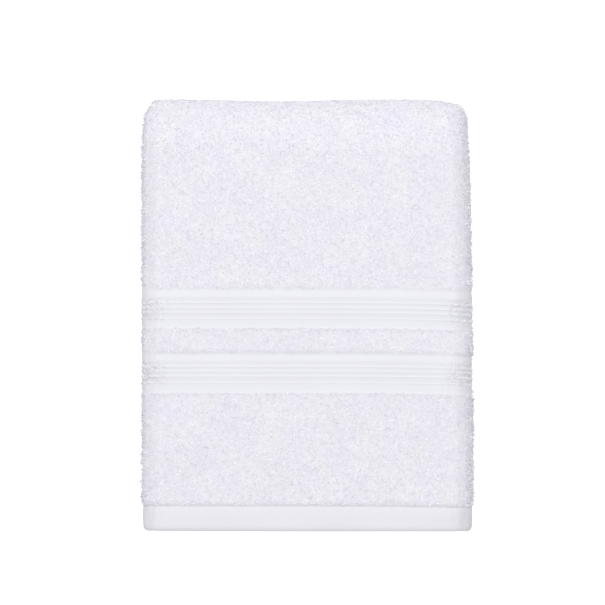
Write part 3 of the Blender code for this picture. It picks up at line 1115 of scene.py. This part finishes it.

# %% [markdown]
# Cotton is matt, and a white towel is never one flat white. The pile has clouds of a neutral and of a faintly
# violet white, as washed cotton has, with small soft shades in them. Each loop has a number of its own: a few
# loops get painted deep shade, most are even, and nearly a quarter get a painted highlight, which gives terry
# its sparkle. Loops by the hem get that highlight more often, and terry gets painted shade where it meets a
# border. The flat-woven cloth is more even, with painted shade in the grooves between ribs and between the
# frayed ends of worn ribs, and streaks of painted violet shade at the sides. All these tones are within a
# quarter of each other, because a white cloth has no more, and noise alone mixes them, without any picture.
# Loose fibres are too fine to model, so they are bump.

# %% Tones of the cotton
PILE_NEUTRAL = (0.843, 0.836, 0.884, 1.0)
PILE_VIOLET = (0.826, 0.810, 0.897, 1.0)
PILE_SHADE = (0.797, 0.788, 0.849, 1.0)
# Painted deep shade and painted highlight, each given to some of the loops.
PILE_DEEP_SHADE = (0.742, 0.733, 0.799, 1.0)
PILE_HIGHLIGHT = (0.980, 0.973, 1.0, 1.0)
# Painted shade where terry meets a border.
PILE_EDGE_SHADE = (0.770, 0.759, 0.823, 1.0)
# Painted shade between the frayed ends of worn ribs.
WORN_GAP_SHADE = (0.735, 0.732, 0.792, 1.0)
# Painted violet shade in streaks at the sides, for small ripples there.
SIDE_RIPPLE_SHADE = (0.792, 0.778, 0.868, 1.0)
BARE_NEUTRAL = (0.843, 0.841, 0.898, 1.0)
BARE_VIOLET = (0.861, 0.851, 0.911, 1.0)
# Painted shade between the ribs.
GROOVE_SHADE = (0.799, 0.799, 0.851, 1.0)
ROUGHNESS = 0.88
SHEEN = 0.25
SHEEN_ROUGHNESS = 0.5
SPECULAR = 0.3
CLOUD_SCALE, CLOUD_EDGES = 75.0, (0.42, 0.58)
SHADE_SCALE, SHADE_EDGES, SHADE_SHARE = 270.0, (0.36, 0.64), 0.6
DEEP_SHADE_TONES, HIGHLIGHT_TONES = (0.03, 0.01), (0.75, 0.80)
FIBRE_SCALE, FIBRE_DEPTH, FIBRE_STRENGTH = 5200.0, 0.00005, 0.5
STREAK_STRETCH = (1.0, 0.1, 1.0)
STREAK_SCALE, STREAK_EDGES, STREAK_SHARE = 500.0, (0.45, 0.60), 0.7
THREAD = 0.00048
WEAVE_SHARE = 0.5
FUZZ_SCALE, FUZZ_BARE, FUZZ_PILE = 2600.0, 0.25, 0.5
WEAVE_DEPTH, WEAVE_STRENGTH = 0.00010, 0.4


def cotton_shader(tree):
    """What all the cotton has in common."""
    tree.set("Roughness", ROUGHNESS)
    tree.set("Sheen Weight", SHEEN)
    tree.set("Sheen Roughness", SHEEN_ROUGHNESS)
    tree.set("Specular IOR Level", SPECULAR)


def pile_colour(tree, where):
    """Clouds of a neutral and a violet white, a centimetre or two wide, soft shades, and painted shade at
    borders.
    """
    clouds = tree.ramp(tree.noise(where, CLOUD_SCALE), *CLOUD_EDGES)
    shades = tree.ramp(tree.noise(where, SHADE_SCALE), *SHADE_EDGES)
    colour = tree.mix(SHADE_SHARE * shades, tree.mix(clouds, PILE_VIOLET, PILE_NEUTRAL), PILE_SHADE)
    # Painted shade along the terry's edge at a border.
    return tree.mix(tree.attribute("pile_edge_shade"), colour, PILE_EDGE_SHADE)


def loop_cotton():
    """The yarn of the loops: the clouds, painted shade on a few loops and a painted highlight on some."""
    tree = Tree(bpy.data.materials.new("loop_cotton"), PRINCIPLED)
    cotton_shader(tree)
    where = tree.place()
    shade_and_highlight = tree.attribute("shade_and_highlight")
    # The lowest numbers get painted deep shade, and the highest a painted highlight for terry's sparkle.
    colour = tree.mix(tree.ramp(shade_and_highlight, *DEEP_SHADE_TONES), pile_colour(tree, where), PILE_DEEP_SHADE)
    colour = tree.mix(tree.ramp(shade_and_highlight, *HIGHLIGHT_TONES), colour, PILE_HIGHLIGHT)
    tree.set("Base Color", colour)
    fibres = tree.noise(where, FIBRE_SCALE)
    tree.set("Normal", tree.bump(fibres, FIBRE_DEPTH, FIBRE_STRENGTH))
    return tree.owner


def cloth_cotton():
    """The woven cloth: even where flat, painted shade between ribs, at sides and worn ends; rough between
    loops.
    """
    tree = Tree(bpy.data.materials.new("cloth_cotton"), PRINCIPLED)
    cotton_shader(tree)
    where = tree.place()
    pile, border, groove_shade = (tree.attribute(name) for name in ("pile", "border", "groove_shade"))
    bare = tree.mix(border, BARE_VIOLET, BARE_NEUTRAL)
    # Painted shade between the ribs.
    bare = tree.mix(groove_shade, bare, GROOVE_SHADE)
    # Streaks of painted violet shade near the sides, for the shade of small ripples.
    drawn = tree.node("ShaderNodeVectorMath", {"operation": "MULTIPLY"}, {0: where, 1: STREAK_STRETCH})
    ripple_shade = tree.ramp(tree.noise(drawn, STREAK_SCALE, detail=1.0), *STREAK_EDGES)
    bare = tree.mix(STREAK_SHARE * tree.attribute("side") * ripple_shade, bare, SIDE_RIPPLE_SHADE)
    # Painted shade between the worn ribs' frayed ends.
    bare = tree.mix(tree.attribute("worn_and_shaded"), bare, WORN_GAP_SHADE)
    tree.set("Base Color", tree.mix(pile, bare, pile_colour(tree, where)))
    weave = weave_pattern(tree, where)
    fuzz = tree.noise(where, FUZZ_SCALE)
    height_map = weave * (1 - pile) * WEAVE_SHARE + fuzz * (FUZZ_BARE + FUZZ_PILE * pile)
    tree.set("Normal", tree.bump(height_map, WEAVE_DEPTH, WEAVE_STRENGTH))
    return tree.owner


def weave_pattern(tree, where):
    """Over and under: one thread's wave times the other's."""
    x, y, _ = tree.split(where)
    number = math.pi / THREAD
    wave_x = tree.node("ShaderNodeMath", {"operation": "SINE"}, {0: x * number})
    wave_y = tree.node("ShaderNodeMath", {"operation": "SINE"}, {0: y * number})
    return wave_x * wave_y


LOOP_COTTON, CLOTH_COTTON = loop_cotton(), cloth_cotton()
cloth.data.materials.append(CLOTH_COTTON)
for piece in PILE:
    piece.data.materials.append(LOOP_COTTON)
print("materials:", LOOP_COTTON.name, CLOTH_COTTON.name)

# %% [markdown]
# Each piece is put under the towel's body. The cloth stands for the solid towel, which is hidden, and the
# loops go with the cloth.

# %% Put each piece under the towel's body
for piece in [cloth, *PILE]:
    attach(piece, "root")
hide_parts("towel")
print("pieces:", 1 + len(PILE))

# %% [markdown]
# The photograph is a plain shop picture on a white ground. A large pale plane stands for the ground. It
# glows a little, to be as white as the photograph's, and is hidden from diffuse rays, so that its glow
# doesn't light the towel from below.

# %% Floor
FLOOR_SIZE = 60.0
FLOOR_DROP = 0.0002
FLOOR_GLOW = 0.80
FLOOR_PALE, WHITE = (0.90, 0.90, 0.90, 1.0), (1.0, 1.0, 1.0, 1.0)
FLOOR_ROUGHNESS = 0.95
bpy.ops.mesh.primitive_plane_add(size=FLOOR_SIZE, location=(0, 0, -FLOOR_DROP))
floor = bpy.context.object
floor.name = "floor"
paper = Tree(bpy.data.materials.new("pale_floor"), PRINCIPLED)
paper.set("Base Color", FLOOR_PALE)
paper.set("Emission Color", WHITE)
paper.set("Emission Strength", FLOOR_GLOW)
paper.set("Roughness", FLOOR_ROUGHNESS)
floor.data.materials.append(paper.owner)
floor.visible_diffuse = False
print("floor:", FLOOR_SIZE, "m wide")

# %% [markdown]
# The photograph's shadows are faint, as they are inside a tent of white cloth with lamps round it. The
# world is that tent: brightest overhead, weaker from the ends and weakest from the sides, which is what
# turns the towel's sides grey. A weak square light beyond the fold makes the far end a little lighter.

# %% Light
world = bpy.context.scene.world or bpy.data.worlds.new("studio")
bpy.context.scene.world = world
TENT_STRENGTH = 1.259
TENT_TOWARDS_FOLD = 0.145
TENT_FALL_ACROSS = 0.75
TENT_FALL_ALONG = 0.40
KEY_PLACE, KEY_SIZE, KEY_POWER = (0.0, 0.45, 0.93), 0.50, 1.65
KEY_AIM = (0.0, 0.0, 0.03)


def light_tent(tree):
    """Light from all round: strongest from above, weaker from the ends and weakest from the sides."""
    x, y, _ = tree.split(tree.node("ShaderNodeTexCoord", output="Generated"))
    strength = 1 + TENT_TOWARDS_FOLD * y - TENT_FALL_ACROSS * (x * x) - TENT_FALL_ALONG * (y * y)
    tree.set("Color", WHITE)
    tree.set("Strength", TENT_STRENGTH * strength)


light_tent(Tree(world, "Background"))


def add_area_light(name, where, size, power):
    """A square soft light that faces the towel."""
    data = bpy.data.lights.new(name, "AREA")
    data.size = size
    data.energy = power
    light = bpy.data.objects.new(name, data)
    light.location = where
    towards = Vector(KEY_AIM) - Vector(where)
    light.rotation_euler = towards.to_track_quat("-Z", "Y").to_euler()
    link(light)
    return light


key = add_area_light("key", KEY_PLACE, KEY_SIZE, KEY_POWER)
print("light:", key.name, KEY_POWER, "W and a tent of strength", TENT_STRENGTH)

# %% [markdown]
# The camera looks straight down from four metres, through a long lens. From so far off the sides of the
# stack hardly show, as in the photograph, and the lens follows from the width that has to fill the frame.

# %% Camera
VIEW_WIDTH = 0.3104
VIEW_CENTRE = (-0.0026, 0.00675)
CAMERA_RISE = 4.00
SENSOR = 36.0
camera_data = bpy.data.cameras.new("camera")
camera_data.sensor_width = SENSOR
camera_data.lens = SENSOR * CAMERA_RISE / VIEW_WIDTH
camera = bpy.data.objects.new("camera", camera_data)
camera.location = (*VIEW_CENTRE, TOWEL_HIGH[2] + CAMERA_RISE)
link(camera)
bpy.context.scene.camera = camera
bpy.context.scene.view_settings.view_transform = "Standard"
bpy.context.scene.view_settings.look = "None"
print("lens:", round(camera_data.lens, 1), "mm")

# %% [markdown]
# Last, nothing is left selected.

# %% Finish
bpy.ops.object.select_all(action="DESELECT")
